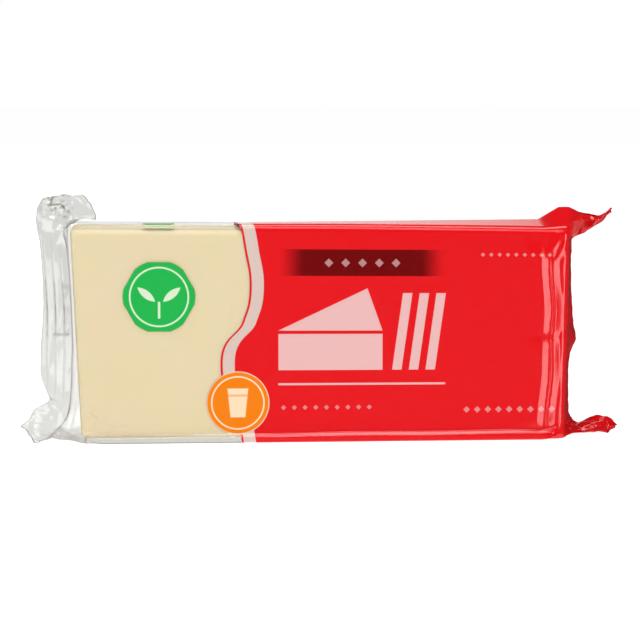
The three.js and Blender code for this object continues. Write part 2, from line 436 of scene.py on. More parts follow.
def end_film(stops, side, ears):
    """Rows of one end: points, place along the film and into the seal, back side, haze and painted
    shade, and specks of painted shade.
    """
    inner, cut, backward = seal_lines(stops, side)
    width = np.linalg.norm(cut - inner, axis=1)
    straight = LEFT_STRAIGHT if side < 0 else RIGHT_STRAIGHT
    loose = 1 - smooth_step(share, *ears[0]) + smooth_step(share, *ears[1])
    loose = straight + (1 - straight) * loose
    bulge = EAR_BULGE * (side < 0) * (1 - smooth_step(share, 0.0, EAR_BULGE_END))
    sag = WEB_SAG * (side > 0) * (1 - smooth_step(share, 0.0, WEB_SAG_END))
    # Low on the end webs the film is greyed as painted shade.
    low_web_shade = LOW_WEB_SHADE * smooth_step(share, *LOW_WEB)
    end = LEFT_END if side < 0 else RIGHT_END
    shift = END_BEND / BLOCK_LENGTH
    shoulder, start = block_film([0.0, shift] if side < 0 else [1.0, 1 - shift])
    all_along = np.ones_like(share)

    points, film_mm, seal_mm, crumple, haze_and_shade = [], [], [], [], []
    for out in np.linspace(1, 0, SEAL_ROWS):
        gap = SEAL_GAP * (1 - out**6) / 2
        layer = inner + (cut - inner) * out + (face * gap)[:, None] * backward
        layer[:, 0] += bulge * 4 * out * (1 - out)
        points.append(layer)
        film_mm.append(end + side * (HALF_THICKNESS + out * width))
        seal_mm.append(out * width)
        crumple.append(loose)
        haze_and_shade.append(all_along)
    weld = points[-1]
    reach = np.linalg.norm(weld - shoulder, axis=1, keepdims=True)
    bend = shoulder + (weld - shoulder) / reach * np.minimum(END_BEND, BEND_SHARE * reach)
    for part in np.linspace(0, 1, WEB_ROWS + 1)[1:]:
        web = weld + (bend - weld) * part
        web[:, 2] -= sag * 4 * part * (1 - part)
        points.append(web)
        film_mm.append(end + side * HALF_THICKNESS * (1 - part) * all_along)
        seal_mm.append(-all_along)
        crumple.append(loose * (1 - part) ** WEB_EASE)
        welded = smooth_step(HALF_THICKNESS * (1 - part), WEB_CLEAR, WEB_HAZY)
        haze_and_shade.append(np.maximum(welded, low_web_shade))
    for part in np.linspace(0, 1, BEND_ROWS + 1)[1:-1]:
        rest = 1 - part
        points.append(rest**2 * bend + 2 * part * rest * shoulder + part**2 * start)
        film_mm.append(end - side * END_BEND * part * all_along)
        seal_mm.append(-all_along)
        crumple.append(0 * all_along)
        haze_and_shade.append(low_web_shade)
    seal_mm = np.array(seal_mm)
    points, shade_specks = crumpled(np.array(points), seal_mm, np.array(crumple), side)
    backs = np.broadcast_to(backward, points.shape)
    return points, np.array(film_mm), seal_mm, backs, np.array(haze_and_shade), shade_specks


print("rows at each end:", SEAL_ROWS + WEB_ROWS + BEND_ROWS - 1)

# %% [markdown]
# Now the rows are put together: the left end, the middle and the right end. Rows stand close
# near the ends, where the film bends and wrinkles, and wide apart in the flat middle. Each
# point also keeps how hazy the film is there: clear over the bar and greyer where it is welded
# double. It is also greyed as painted shade where it lies in the lip along the foot, along the
# top and low on the end webs.

# %% Film grid
LEFT_EARS = ((0.14, 0.26), (0.70, 0.80))
RIGHT_EARS = ((0.12, 0.22), (0.80, 0.88))
MIDDLE_STEP = 2.4
END_STEP = 0.4
END_ZONE = 14.0
# Painted shade in the film: the levels above the floor where the lip's shade fades out, and how
# grey the top is.
FOOT_SHADE_LEVELS = (2.0, 2.8)
TOP_SHADE = 0.3

left_end = end_film(LEFT_SEAL, -1, LEFT_EARS)
right_end = end_film(RIGHT_SEAL, 1, RIGHT_EARS)
middle_mm = np.concatenate(
    [
        np.arange(END_BEND, END_ZONE, END_STEP),
        np.arange(END_ZONE, BLOCK_LENGTH - END_ZONE, MIDDLE_STEP),
        np.arange(BLOCK_LENGTH - END_ZONE, BLOCK_LENGTH - END_BEND, END_STEP),
        [BLOCK_LENGTH - END_BEND],
    ]
)
middle_points = block_film(middle_mm / BLOCK_LENGTH)
middle_shape = middle_points.shape[:2]
# The film in the lip and on the top is greyed as painted shade.
in_lip = 1 - smooth_step((1 - down) * MEAN_HEIGHT, *FOOT_SHADE_LEVELS)
lip_and_top_shade = np.broadcast_to(np.maximum(in_lip, TOP_SHADE * on_top), middle_shape)
middle = (
    middle_points,
    middle_points[:, :, 0],
    -np.ones(middle_shape),
    np.zeros_like(middle_points),
    lip_and_top_shade,
    np.zeros(middle_shape),
)
points, film_mm, seal_mm, backs, haze_and_shade, shade_specks = (
    np.concatenate([first, between, last[::-1]])
    for first, between, last in zip(left_end, middle, right_end)
)
print("film grid", points.shape[:2], "rows and columns")

# %% [markdown]
# The grid becomes one mesh. Its UV map holds millimetres of film, along the pack and round
# the girth, so that the print can be drawn at its real size and follows every fold. Vertex
# attributes keep what the next step needs: how far into a seal a point is and which way the
# back of the strip faces.

# %% Film mesh
PRINT_MAP = "film_mm"
RIB_START = 2.2
# Where the ribs start and end, as shares of the way down a strip, and where they are faint.
RIBS = ((0.34, 0.36), (0.505, 0.525))
FAINT_RIBS = ((0.18, 0.26), (0.70, 0.78))
FAINT = 0.12
# The jaws pressed unevenly: mean strength and two waves along the strip.
RIB_MEAN = 0.6
RIB_WAVES = (0.25, 0.15)
RIB_WAVE_TURNS = (61, 147)
# A band of painted shade by the inner line of each seal, as strong as the ribs there.
PRESSED_SHADE = 0.3
# The end of the jaw leaves one short line across the strip, drawn as a thin line of painted shade.
JAW_LINE = 0.4
JAW_PLACE = 0.513
JAW_HALF_WIDTH = 0.0035
JAW_RUN = (0.5, 5.5)
LIP_SHADE = 0.35
LIP_SHADE_LEVELS = (1.4, 2.4)


def film_mesh():
    """The closed bag of film, as a mesh with the film's own millimetres as its UV map."""
    rows, columns = points.shape[:2]
    index = np.arange(rows * columns).reshape(rows, columns)
    beside = np.roll(index, -1, axis=1)
    quads = np.stack([index[:-1], index[1:], beside[1:], beside[:-1]], axis=-1).reshape(-1, 4)
    mesh = bpy.data.meshes.new("film_wrap")
    mesh.from_pydata((points * MM).reshape(-1, 3).tolist(), [], quads.tolist())
    girth_next = np.append(girth_mm[1:], girth_mm[-1] + (girth_mm[-1] - girth_mm[-2]))
    low = np.broadcast_to(girth_mm, points.shape[:2])
    high = np.broadcast_to(girth_next, points.shape[:2])
    film_next = np.roll(film_mm, -1, axis=1)
    corners_u = np.stack([film_mm[:-1], film_mm[1:], film_next[1:], film_next[:-1]], axis=-1)
    corners_v = np.stack([low[:-1], low[1:], high[1:], high[:-1]], axis=-1)
    layer = mesh.uv_layers.new(name=PRINT_MAP)
    layer.uv.foreach_set("vector", np.stack([corners_u, corners_v], axis=-1).ravel())
    into = mesh.attributes.new("seal_mm", "FLOAT", "POINT")
    into.data.foreach_set("value", seal_mm.ravel())
    strength = mesh.attributes.new("rib_strength", "FLOAT", "POINT")
    ribbed = smooth_step(share, *RIBS[0]) * (1 - smooth_step(share, *RIBS[1]))
    faint = smooth_step(share, *FAINT_RIBS[0]) * (1 - smooth_step(share, *FAINT_RIBS[1]))
    uneven = RIB_MEAN + RIB_WAVES[0] * np.sin(RIB_WAVE_TURNS[0] * share)
    uneven = uneven + RIB_WAVES[1] * np.sin(RIB_WAVE_TURNS[1] * share + 1)
    ribbed = FAINT * faint + (1 - FAINT) * ribbed * uneven
    ribbed = np.broadcast_to(ribbed, points.shape[:2])
    strength.data.foreach_set("value", ribbed.ravel())
    grey = mesh.attributes.new("haze_and_shade", "FLOAT", "POINT")
    grey.data.foreach_set("value", haze_and_shade.ravel())
    inner_line_shade = PRESSED_SHADE * ribbed * (seal_mm > 0) * (seal_mm < RIB_START)
    jaw_edge = JAW_LINE * (np.abs(share - JAW_PLACE) < JAW_HALF_WIDTH)
    jaw_edge = jaw_edge * (seal_mm > JAW_RUN[0]) * (seal_mm < JAW_RUN[1])
    above_foot = smooth_step((1 - down) * MEAN_HEIGHT, *LIP_SHADE_LEVELS)
    lip_shade = LIP_SHADE * (1 - above_foot) * (seal_mm < 0)
    # Painted shade kept for the clear film: specks, the band by the inner line, the jaw line and
    # the foot.
    dark = mesh.attributes.new("painted_shade", "FLOAT", "POINT")
    shade_lines = np.maximum.reduce([shade_specks, inner_line_shade, jaw_edge, lip_shade])
    dark.data.foreach_set("value", shade_lines.ravel())
    back = mesh.attributes.new("strip_back", "FLOAT_VECTOR", "POINT")
    back.data.foreach_set("vector", backs.ravel())
    return mesh


film_wrap = bpy.data.objects.new("film_wrap", film_mesh())
bpy.context.scene.collection.objects.link(film_wrap)
print("film mesh", len(film_wrap.data.vertices), "points")

# %% [markdown]
# Materials are node trees. One small function adds a node, sets its properties and fills or
# links its inputs, and one turns the sRGB hex colours that a paint chart gives into the
# linear numbers that the shader works in.

# %% Node and colour helpers


def linear(hex_colour):
    """An sRGB hex colour as linear RGBA."""
    parts = [int(hex_colour[i : i + 2], 16) / 255 for i in (1, 3, 5)]
    return [p / 12.92 if p <= 0.04045 else ((p + 0.055) / 1.055) ** 2.4 for p in parts] + [1.0]


def node(tree, kind, settings=None, inputs=None):
    """Adds a node to a tree, with its settings, and fills or links its inputs."""
    made = tree.nodes.new(kind)
    for name, value in (settings or {}).items():
        setattr(made, name, value)
    for socket, source in (inputs or {}).items():
        if isinstance(source, bpy.types.NodeSocket):
            tree.links.new(source, made.inputs[socket])
        else:
            made.inputs[socket].default_value = source
    return made


print("a mid grey in linear light:", [round(part, 3) for part in linear("#808080")])

# %% [markdown]
# The print is drawn by nodes on the film's own millimetres. It is fields of colour and simple
# shapes, and every shape is a mask that goes from 0 to 1 over a hair's breadth, so edges stay
# sharp in close views and smooth in far ones. The shapes a printer needs are few: a disc, a
# ring, a bar, a polygon and a row of small diamonds.

# %% Print shapes
INK_EDGE = 0.09


def covered(tree, distance, limit):
    """A mask that is 1 where the distance is under the limit, in millimetres."""
    return node(
        tree,
        "ShaderNodeMapRange",
        {"interpolation_type": "SMOOTHSTEP"},
        {0: distance, 1: limit - INK_EDGE, 2: limit + INK_EDGE, 3: 1.0, 4: 0.0},
    ).outputs[0]


def strip(tree, distance, low, high):
    """A printed strip between two distances from a line or a point."""
    middle = (low + high) / 2
    aside = node(tree, "ShaderNodeMath", {"operation": "SUBTRACT"}, {0: distance, 1: middle})
    size = node(tree, "ShaderNodeMath", {"operation": "ABSOLUTE"}, {0: aside.outputs[0]})
    return covered(tree, size.outputs[0], (high - low) / 2)


def disc(tree, place, centre, radius):
    """A printed disc."""
    away_from = node(
        tree, "ShaderNodeVectorMath", {"operation": "DISTANCE"}, {0: place, 1: (*centre, 0)}
    )
    return covered(tree, away_from.outputs["Value"], radius)


def ring(tree, place, centre, radius, width):
    """A printed ring, measured to its outer edge."""
    away_from = node(
        tree, "ShaderNodeVectorMath", {"operation": "DISTANCE"}, {0: place, 1: (*centre, 0)}
    )
    return strip(tree, away_from.outputs["Value"], radius - width, radius)


def bar(tree, place, centre, size, radius):
    """A printed bar with round corners."""
    moved = node(
        tree, "ShaderNodeVectorMath", {"operation": "SUBTRACT"}, {0: place, 1: (*centre, 0)}
    )
    folded = node(
        tree, "ShaderNodeVectorMath", {"operation": "ABSOLUTE"}, {0: moved.outputs[0]}
    )
    half = (size[0] / 2 - radius, size[1] / 2 - radius, 1)
    past = node(
        tree, "ShaderNodeVectorMath", {"operation": "SUBTRACT"}, {0: folded.outputs[0], 1: half}
    )
    outside = node(
        tree, "ShaderNodeVectorMath", {"operation": "MAXIMUM"}, {0: past.outputs[0], 1: (0, 0, 0)}
    )
    length = node(tree, "ShaderNodeVectorMath", {"operation": "LENGTH"}, {0: outside.outputs[0]})
    return covered(tree, length.outputs["Value"], radius)


def polygon(tree, place, corners):
    """A printed polygon that bulges outwards everywhere, with corners listed clockwise."""
    furthest = None
    for (x0, y0), (x1, y1) in zip(corners, corners[1:] + corners[:1]):
        length = math.hypot(x1 - x0, y1 - y0)
        normal = ((y0 - y1) / length, (x1 - x0) / length, 0)
        moved = node(
            tree, "ShaderNodeVectorMath", {"operation": "SUBTRACT"}, {0: place, 1: (x0, y0, 0)}
        )
        past = node(
            tree,
            "ShaderNodeVectorMath",
            {"operation": "DOT_PRODUCT"},
            {0: moved.outputs[0], 1: normal},
        ).outputs["Value"]
        if furthest is not None:
            past = node(
                tree, "ShaderNodeMath", {"operation": "MAXIMUM"}, {0: furthest, 1: past}
            ).outputs[0]
        furthest = past
    return covered(tree, furthest, 0.0)


def diamonds(tree, place, start, count, pitch, size):
    """A row of small diamonds, from its left end."""
    moved = node(
        tree, "ShaderNodeVectorMath", {"operation": "SUBTRACT"}, {0: place, 1: (*start, 0)}
    )
    spot = node(tree, "ShaderNodeSeparateXYZ", None, {0: moved.outputs[0]}).outputs
    beside = node(
        tree, "ShaderNodeMath", {"operation": "PINGPONG"}, {0: spot["X"], 1: pitch / 2}
    )
    above = node(tree, "ShaderNodeMath", {"operation": "ABSOLUTE"}, {0: spot["Y"]})
    reach = node(
        tree,
        "ShaderNodeMath",
        {"operation": "SUBTRACT"},
        {0: above.outputs[0], 1: beside.outputs[0]},
    )
    marks = covered(tree, reach.outputs[0], (size - pitch) / 2)
    long = count * pitch
    row = bar(tree, place, (start[0] + long / 2, start[1]), (long, 2 * size), 0.0)
    return node(tree, "ShaderNodeMath", {"operation": "MULTIPLY"}, {0: marks, 1: row}).outputs[0]


print("printed edges are", 2 * INK_EDGE, "mm soft")

# %% [markdown]
# The printed field starts along a waved edge, with a cream stripe and a thin line beside it.
# A curve node holds the wave as seven stops, so it can be bent by hand in the editor. A dark
# band fades out at both ends. Its mask is a sharp bar times a soft one along the pack.

# %% Waved edge and fading band
EDGE_LOW, EDGE_HIGH = -3.0, 67.0
EDGE_LEFT, EDGE_RIGHT = -30.0, -15.0
# Each stop: millimetres up the film and the edge's place along the pack.
EDGE_STOPS = [
    (-3, -20),
    (8, -21.5),
    (24, -26.5),
    (36, -20),
    (46, -17.8),
    (57, -19.2),
    (67, -21.5),
]
STRIPE_WIDTH = 3.6
LINE_WIDTH = 0.6
BAND_MIDDLE = (11.5, 53.6)
BAND_HEIGHT = 7.8
BAND_SOLID = 17.0
BAND_END = 25.4
BAND_CORNER = 0.1


def left_of_edge(tree, spot):
    """How far left of the waved edge a point of the film is, in millimetres."""
    height = node(
        tree,
        "ShaderNodeMapRange",
        None,
        {0: spot["Y"], 1: EDGE_LOW, 2: EDGE_HIGH, 3: 0.0, 4: 1.0},
    )
    wave = node(tree, "ShaderNodeFloatCurve", None, {"Value": height.outputs[0]})
    curve = wave.mapping.curves[0]
    for number, (up, across) in enumerate(EDGE_STOPS):
        at = (up - EDGE_LOW) / (EDGE_HIGH - EDGE_LOW)
        value = (across - EDGE_LEFT) / (EDGE_RIGHT - EDGE_LEFT)
        if number in (0, len(EDGE_STOPS) - 1):
            curve.points[0 if number == 0 else -1].location = (at, value)
        else:
            curve.points.new(at, value)
    wave.mapping.update()
    edge = node(
        tree,
        "ShaderNodeMapRange",
        None,
        {0: wave.outputs[0], 1: 0.0, 2: 1.0, 3: EDGE_LEFT, 4: EDGE_RIGHT},
    )
    left_of = node(
        tree, "ShaderNodeMath", {"operation": "SUBTRACT"}, {0: edge.outputs[0], 1: spot["X"]}
    )
    return left_of.outputs[0]


def fading_band(tree, place, spot):
    """A band with sharp long edges that fades out at both ends."""
    sharp = bar(tree, place, BAND_MIDDLE, (2 * BAND_END, BAND_HEIGHT), BAND_CORNER)
    along = node(
        tree, "ShaderNodeMath", {"operation": "SUBTRACT"}, {0: spot["X"], 1: BAND_MIDDLE[0]}
    )
    from_middle = node(tree, "ShaderNodeMath", {"operation": "ABSOLUTE"}, {0: along.outputs[0]})
    soft = node(
        tree,
        "ShaderNodeMapRange",
        {"interpolation_type": "SMOOTHSTEP"},
        {0: from_middle.outputs[0], 1: BAND_SOLID, 2: BAND_END, 3: 1.0, 4: 0.0},
    )
    both = node(
        tree, "ShaderNodeMath", {"operation": "MULTIPLY"}, {0: sharp, 1: soft.outputs[0]}
    )
    return both.outputs[0]


print("waved edge has", len(EDGE_STOPS), "stops")

# %% [markdown]
# Two round marks lie over the window: a green badge with a pair of leaves and an orange disc
# with a drinking glass. The badge is a disc with six flattened sides, which is the smaller of
# two masks, and a leaf is where two discs overlap.

# %% Badge and disc
ORANGE = "#FA8400"
GREEN = "#22BA50"
PALE_GREEN = "#DDF0D0"
PALE_ORANGE = "#FFE3BC"
DISC_RIM = "#F6D2B4"
BADGE = (-48.8, 43.4)
BADGE_RADIUS = 10.7
BADGE_CORNERS = 1.1
BADGE_LINE = (1.8, 0.5)
STEM_DROP = 3.9
STEM_SIZE = (0.7, 5.0)
STEM_CORNER = 0.3
LEAF_RADIUS = 5.6
LEAF_CENTRES = ((6.6, -2.8), (0.9, 4.2))
DISC = (-25.6, 11.9)
DISC_RADIUS = 9.1
DISC_EDGE = 0.3
DISC_LINE = (1.1, 0.45)
GLASS_TOP = 3.1
GLASS_FOOT = 2.2
GLASS_HALF = 4.3
FILL_HEIGHT = 2.2
FILL_SIZE = (7.0, 0.6)


def badge_layers(tree, place):
    """The badge's field, its inner line, its pair of leaves and their stem."""
    reach = BADGE_RADIUS * BADGE_CORNERS
    corners = []
    for step in range(6):
        turn = math.radians(30 + 60 * step)
        corners.append((BADGE[0] + reach * math.sin(turn), BADGE[1] + reach * math.cos(turn)))
    sides = polygon(tree, place, corners)
    whole = disc(tree, place, BADGE, BADGE_RADIUS)
    field = node(tree, "ShaderNodeMath", {"operation": "MINIMUM"}, {0: sides, 1: whole})
    layers = [
        (GREEN, field.outputs[0]),
        (PALE_GREEN, ring(tree, place, BADGE, BADGE_RADIUS - BADGE_LINE[0], BADGE_LINE[1])),
    ]
    for side in (-1, 1):
        discs = {}
        for number, (across, up) in enumerate(LEAF_CENTRES):
            centre = (BADGE[0] + side * across, BADGE[1] + up)
            discs[number] = disc(tree, place, centre, LEAF_RADIUS)
        leaf = node(tree, "ShaderNodeMath", {"operation": "MINIMUM"}, discs)
        layers.append((PALE_GREEN, leaf.outputs[0]))
    stem = bar(tree, place, (BADGE[0], BADGE[1] - STEM_DROP), STEM_SIZE, STEM_CORNER)
    return layers + [(PALE_GREEN, stem)]


def disc_layers(tree, place):
    """The orange disc, its rim, its inner ring and a glass with a line across it."""
    x, y = DISC
    cup = [
        (x - GLASS_TOP, y + GLASS_HALF),
        (x + GLASS_TOP, y + GLASS_HALF),
        (x + GLASS_FOOT, y - GLASS_HALF),
        (x - GLASS_FOOT, y - GLASS_HALF),
    ]
    return [
        (DISC_RIM, disc(tree, place, DISC, DISC_RADIUS + DISC_EDGE)),
        (ORANGE, disc(tree, place, DISC, DISC_RADIUS)),
        (PALE_ORANGE, ring(tree, place, DISC, DISC_RADIUS - DISC_LINE[0], DISC_LINE[1])),
        (PALE_ORANGE, polygon(tree, place, cup)),
        (ORANGE, bar(tree, place, (x, y + FILL_HEIGHT), FILL_SIZE, 0.0)),
    ]


print("badge and disc are", 2 * BADGE_RADIUS, "and", 2 * DISC_RADIUS, "mm across")

# %% [markdown]
# All the marks are laid over each other like inks on a press: each layer is a colour and a
# mask, and the last one lies on top. A plain cheese wedge with slices stands in the middle of
# the printed field, with rules and rows of diamonds round it. Past the right end of the bar
# there is no pale cheese behind the ink, so the red is deeper there, and it is darker still as
# painted shade on the folded end. The group also tells where there is ink.

# %% The print as a node group
RED = "#EA0F18"
DEEP_RED = "#740103"
# The red past the bar's end is deeper partly for lack of cheese behind it and partly as painted
# shade on the folded end.
UNBACKED_SHADED_RED = "#DC1015"
UNBACKED_SHADE_FROM = RIGHT_END - 1.0
UNBACKED_SHADE_TO = RIGHT_END + 3.0
CREAM = "#DFC7BD"
PALE_PINK = "#EFBDBB"
WEDGE_TOP = [(-13.5, 33.4), (13.0, 46.0), (17.5, 33.4)]
WEDGE_SIDE = [(-13.5, 32.4), (17.5, 32.4), (17.5, 21.6), (-13.5, 21.6)]
RULE = ((11.4, 17.4), (50.0, 0.6))
RULE_CORNER = 0.3
# Rows of diamonds: left end, count, pitch and size.
DIAMOND_ROWS = [
    ((-1.0, 53.6), 5, 5.0, 2.6),
    ((-13.6, 10.4), 9, 3.2, 1.5),
    ((41.2, 9.4), 9, 3.2, 2.0),
    ((46.2, 56.2), 9, 2.5, 1.3),
]
TOP_MARK = (-48.8, 65.9)
TOP_MARK_SIZE = (9.6, 3.4)
TOP_MARK_CORNER = 1.4
SLICE_PLACES = (20.4, 25.4, 30.4)
SLICE = ((3.2, 44.6), (6.0, 44.6), (2.8, 21.6), (0.0, 21.6))


def field_layers(tree, place, spot):
    """The red field with its edge, the dark band, the wedge, the slices and the small rows."""
    left_of = left_of_edge(tree, spot)
    line_end = STRIPE_WIDTH + LINE_WIDTH
    layers = [
        (RED, covered(tree, left_of, 0.0)),
        (CREAM, strip(tree, left_of, 0, STRIPE_WIDTH)),
        (RED, strip(tree, left_of, STRIPE_WIDTH, line_end)),
        (DEEP_RED, fading_band(tree, place, spot)),
        (PALE_PINK, polygon(tree, place, WEDGE_TOP)),
        (PALE_PINK, polygon(tree, place, WEDGE_SIDE)),
        (PALE_PINK, bar(tree, place, *RULE, RULE_CORNER)),
    ]
    for start, count, pitch, size in DIAMOND_ROWS:
        layers.append((PALE_PINK, diamonds(tree, place, start, count, pitch, size)))
    for left in SLICE_PLACES:
        corners = [(left + across, up) for across, up in SLICE]
        layers.append((PALE_PINK, polygon(tree, place, corners)))
    return layers


def print_group():
    """A shader group that gives the print's colour and where there is ink."""
    tree = bpy.data.node_groups.new("pack_print", "ShaderNodeTree")
    tree.interface.new_socket("Color", in_out="OUTPUT", socket_type="NodeSocketColor")
    tree.interface.new_socket("Ink", in_out="OUTPUT", socket_type="NodeSocketFloat")
    place = node(tree, "ShaderNodeUVMap", {"uv_map": PRINT_MAP}).outputs[0]
    spot = node(tree, "ShaderNodeSeparateXYZ", None, {0: place}).outputs
    # Past the bar's end the red turns deeper: partly no cheese behind the ink, partly painted
    # shade.
    unbacked_shade = node(
        tree,
        "ShaderNodeMapRange",
        {"interpolation_type": "SMOOTHSTEP"},
        {0: spot["X"], 1: UNBACKED_SHADE_FROM, 2: UNBACKED_SHADE_TO, 3: 0.0, 4: 1.0},
    )
    layers = field_layers(tree, place, spot)
    layers += disc_layers(tree, place)
    layers += badge_layers(tree, place)
    layers.append((GREEN, bar(tree, place, TOP_MARK, TOP_MARK_SIZE, TOP_MARK_CORNER)))
    layers.append((UNBACKED_SHADED_RED, unbacked_shade.outputs[0]))
    colour = linear(RED)
    ink = None
    for chosen, mask in layers:
        colour = node(
            tree,
            "ShaderNodeMix",
            {"data_type": "RGBA"},
            {0: mask, 6: colour, 7: linear(chosen)},
        ).outputs[2]
        if ink is None:
            ink = mask
        else:
            ink = node(
                tree, "ShaderNodeMath", {"operation": "MAXIMUM"}, {0: ink, 1: mask}
            ).outputs[0]
    node(tree, "NodeGroupOutput", None, {"Color": colour, "Ink": ink})
    return tree


pack_print = print_group()
print("print group has", len(pack_print.nodes), "nodes")

# %% [markdown]
# Printed film is biaxial polypropylene, rolled smooth, with the ink behind it. The ink gives
# the colour, and the film's outer face gives a clear, glossy shine over it with a faint orange
# peel from the ink layer. The peel is noise about a millimetre across, which drives both the
# bump and the roughness.

# %% Printed film
FILM_IOR = 1.5
INK_PEEL = 1.4
PEEL_SPREAD = (0.3, 0.7)
PEEL_GLOSS = (0.13, 0.2)
PEEL_STRENGTH = 0.25
PEEL_DEPTH = 0.02


def inked_shader(tree, art):
    """Ink under smooth film: its colour, a gloss that varies a little and a faint peel."""
    place = node(tree, "ShaderNodeTexCoord").outputs["Object"]
    peel = node(
        tree,
        "ShaderNodeTexNoise",
        None,
        {"Vector": place, "Scale": 1 / (INK_PEEL * MM), "Detail": 2.0},
    )
    gloss = node(
        tree,
        "ShaderNodeMapRange",
        None,
        dict(enumerate([peel.outputs[0], *PEEL_SPREAD, *PEEL_GLOSS])),
    )
    bump = node(
        tree,
        "ShaderNodeBump",
        None,
        {"Strength": PEEL_STRENGTH, "Distance": PEEL_DEPTH * MM, "Height": peel.outputs[0]},
    )
    return node(
        tree,
        "ShaderNodeBsdfPrincipled",
        None,
        {
            "Base Color": art.outputs["Color"],
            "Roughness": gloss.outputs[0],
            "IOR": FILM_IOR,
            "Normal": bump.outputs[0],
        },
    )


def printed_film():
    """Polypropylene film, printed all over."""
    made = bpy.data.materials.new("printed_polypropylene_film")
    made.use_nodes = True
    tree = made.node_tree
    tree.nodes.clear()
    art = node(tree, "ShaderNodeGroup", {"node_tree": pack_print})
    shade = inked_shader(tree, art)
    node(tree, "ShaderNodeOutputMaterial", None, {"Surface": shade.outputs[0]})
    return made


printed = printed_film()
print("film material:", printed.name)

# %% [markdown]
# Clear film has no colour of its own. It dims what is behind it a little, more where it is
# welded double, and the flatter it is seen the more of the room shines in it, which is what
# draws the creases of the ears. Its see-through colour also carries painted shade: it turns
# grey where the film is seen edge-on, in the lip, along the top and low on the end webs, and
# darker grey in the rib grooves, the crushed specks and the lines of the seals. It is a
# see-through shader mixed with a mirror by how slanted the film stands, and the print lies over
# both where there is ink. Seen from inside the bag, light meets the film from the denser side,
# so the slant is reckoned the other way round.

# %% Clear film
CLEAR_TINT = "#FDFDFC"
SEAL_TINT = "#E6E6E4"
# Painted shade: the grey the film turns where it is seen edge-on, which darkens its creases.
CREASE_SHADE_TINT = "#B8B9B6"
CREASE_FROM = 0.3
CREASE_FULL = 0.95
# The darker grey of painted shade in rib grooves, crushed specks and the lines of the seals.
PAINTED_SHADE_TINT = "#B2AEA8"
CLEAR_ROUGHNESS = 0.1
MOST_MIRROR = 0.3


def window_film():
    """Clear polypropylene film with the printed edge and the badge on it."""
    made = bpy.data.materials.new("clear_polypropylene_film")
    made.use_nodes = True
    tree = made.node_tree
    tree.nodes.clear()
    art = node(tree, "ShaderNodeGroup", {"node_tree": pack_print})
    shade = inked_shader(tree, art)
    # Where the film is seen edge-on its see-through colour turns grey, as painted shade in the
    # creases.
    slant = node(tree, "ShaderNodeLayerWeight", None, {"Blend": 0.5})
    edge_on = node(
        tree,
        "ShaderNodeMapRange",
        {"interpolation_type": "SMOOTHSTEP"},
        {0: slant.outputs["Facing"], 1: CREASE_FROM, 2: CREASE_FULL, 3: 0.0, 4: 1.0},
    )
    # Painted shade kept on the mesh: grey in the lip, on the top and low on the webs, dark specks
    # and lines.
    haze_and_shade_at = node(tree, "ShaderNodeAttribute", {"attribute_name": "haze_and_shade"})
    painted_shade = node(tree, "ShaderNodeAttribute", {"attribute_name": "painted_shade"})
    groove = node(tree, "ShaderNodeAttribute", {"attribute_name": "groove"})
    painted_shade_line = node(
        tree,
        "ShaderNodeMath",
        {"operation": "MAXIMUM"},
        {0: painted_shade.outputs["Fac"], 1: groove.outputs["Fac"]},
    )
    seal_tint_and_crease_shade = node(
        tree,
        "ShaderNodeMix",
        {"data_type": "RGBA"},
        {0: edge_on.outputs[0], 6: linear(SEAL_TINT), 7: linear(CREASE_SHADE_TINT)},
    )
    tint_and_shade = node(
        tree,
        "ShaderNodeMix",
        {"data_type": "RGBA"},
        {0: haze_and_shade_at.outputs["Fac"], 6: linear(CLEAR_TINT), 7: seal_tint_and_crease_shade.outputs[2]},
    )
    with_painted_shade = node(
        tree,
        "ShaderNodeMix",
        {"data_type": "RGBA"},
        {0: painted_shade_line.outputs[0], 6: tint_and_shade.outputs[2], 7: linear(PAINTED_SHADE_TINT)},
    )
    through = node(tree, "ShaderNodeBsdfTransparent", None, {"Color": with_painted_shade.outputs[2]})
    shine = node(tree, "ShaderNodeBsdfGlossy", None, {"Roughness": CLEAR_ROUGHNESS})
    inside = node(tree, "ShaderNodeNewGeometry").outputs["Backfacing"]
    bend_light = node(
        tree,
        "ShaderNodeMapRange",
        None,
        {0: inside, 1: 0.0, 2: 1.0, 3: FILM_IOR, 4: 1 / FILM_IOR},
    )
    mirror = node(tree, "ShaderNodeFresnel", None, {"IOR": bend_light.outputs[0]})
    part = node(
        tree, "ShaderNodeMath", {"operation": "MINIMUM"}, {0: mirror.outputs[0], 1: MOST_MIRROR}
    )
    clear = node(
        tree,
        "ShaderNodeMixShader",
        None,
        {0: part.outputs[0], 1: through.outputs[0], 2: shine.outputs[0]},
    )
    both = node(
        tree,
        "ShaderNodeMixShader",
        None,
        {0: art.outputs["Ink"], 1: clear.outputs[0], 2: shade.outputs[0]},
    )
    node(tree, "ShaderNodeOutputMaterial", None, {"Surface": both.outputs[0]})
    return made


window = window_film()
print("film material:", window.name)

# %% [markdown]
# The seals were pressed between ribbed jaws, which leaves fine ribs along each strip. A rib
# repeats, so Geometry Nodes makes them: every point of a strip moves along the strip's own
# back direction by a wave of its distance into the seal. Both layers move together, as welded
# film does. The same tree ends by giving each face its film: the print where the pack is
# printed all over, and the window film where it is clear or has the printed edge.

# %% Crimp ribs
RIB_PITCH = 2.6 * MM
RIB_OFFSET = 0.4 * MM
RIB_HEIGHT = 0.6 * MM
GROOVE_SHARE = 0.1
PRINT_START = -14.0 * MM


